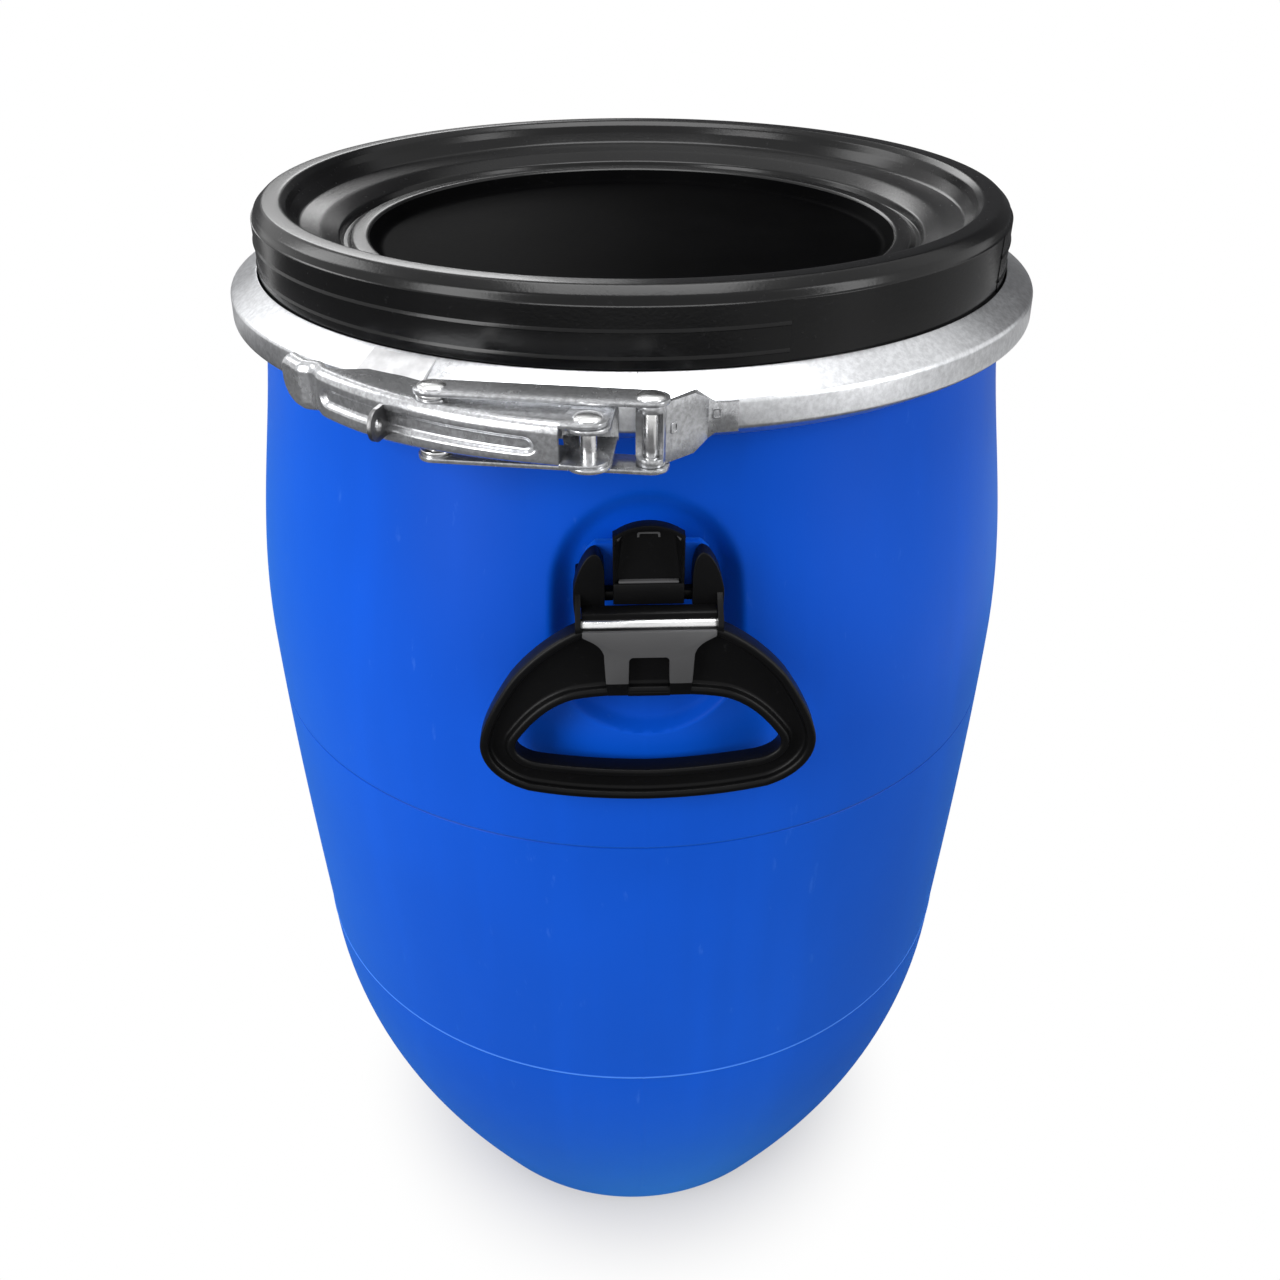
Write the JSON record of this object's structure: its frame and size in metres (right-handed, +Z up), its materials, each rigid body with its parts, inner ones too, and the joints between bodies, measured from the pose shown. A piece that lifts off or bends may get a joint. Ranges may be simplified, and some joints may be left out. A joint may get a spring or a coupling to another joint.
{
  "type": "open head drum",
  "caption": "Blow-moulded plastic drum with a recessed clamped lid, a split steel lever ring and swing handles.",
  "frame": {"origin": "centre of the drum's base, on the surface it stands on", "axes": "+Z up, -Y towards the latch and the front handle, +X to the right seen from the front"},
  "size_m": [0.3925, 0.4299, 0.618],
  "materials": {
    "blue_hdpe": "satin blow-moulded polyethylene",
    "black_lid": "satin injection-moulded polyethylene",
    "seal_rubber": "soft sealing rubber",
    "zinc_steel": "zinc plated sheet steel",
    "bright_steel": "plated pins and rivets",
    "black_handle": "fine textured moulded plastic"
  },
  "bodies": {
    "drum": {"drum_body": "blue_hdpe", "front_handle_bracket": "black_handle", "front_handle_pin": "bright_steel", "rear_handle_bracket": "black_handle", "rear_handle_pin": "bright_steel"},
    "lid": {"lid": "black_lid", "lid_gasket": "seal_rubber"},
    "ring_left": {"ring_left_half": "zinc_steel", "fulcrum_bracket": "zinc_steel", "seal_bracket": "zinc_steel", "fulcrum_pin": "bright_steel"},
    "ring_right": {"ring_right_half": "zinc_steel", "end_bracket": "zinc_steel", "end_pin": "bright_steel"},
    "lever": {"lever": "zinc_steel", "lever_pin": "bright_steel", "lever_pin_washers": "bright_steel"},
    "links": {"link_upper": "zinc_steel", "link_lower": "zinc_steel", "end_pin_heads": "bright_steel"},
    "front_grip": {"front_handle_grip": "black_handle"},
    "rear_grip": {"rear_handle_grip": "black_handle"}
  },
  "joints": [
    {"name": "lid_lift", "type": "slide", "parent": "drum", "child": "lid", "axis": [0, 0, 1], "range_m": [0, 0.25]},
    {"name": "ring_lift", "type": "slide", "parent": "drum", "child": "ring_left", "axis": [0, 0, 1], "range_m": [0, 0.25]},
    {"name": "lever_swing", "type": "hinge", "parent": "ring_left", "child": "lever", "pos_m": [-0.022, -0.21287, 0.5752], "axis": [0, 0, 1], "range_deg": [0, 165]},
    {"name": "ring_open", "type": "hinge", "parent": "ring_left", "child": "ring_right", "pos_m": [0, 0.19, 0.5752], "axis": [0, 0, 1], "range_deg": [0, 12]},
    {"name": "link_swing", "type": "hinge", "parent": "lever", "child": "links", "pos_m": [-0.07713, -0.18994, 0.5752], "axis": [0, 0, 1], "range_deg": [-111.2, 0]},
    {"name": "front_grip_swing", "type": "hinge", "parent": "drum", "child": "front_grip", "pos_m": [0, -0.203, 0.496], "axis": [-1, 0, 0], "range_deg": [0, 100]},
    {"name": "rear_grip_swing", "type": "hinge", "parent": "drum", "child": "rear_grip", "pos_m": [0, 0.203, 0.496], "axis": [1, 0, 0], "range_deg": [0, 100]}
  ],
  "couplings": [
    {"joint": "ring_open", "follows": "lever_swing", "ratio": 0.07225},
    {"joint": "link_swing", "follows": "lever_swing", "ratio": -0.67249}
  ]
}
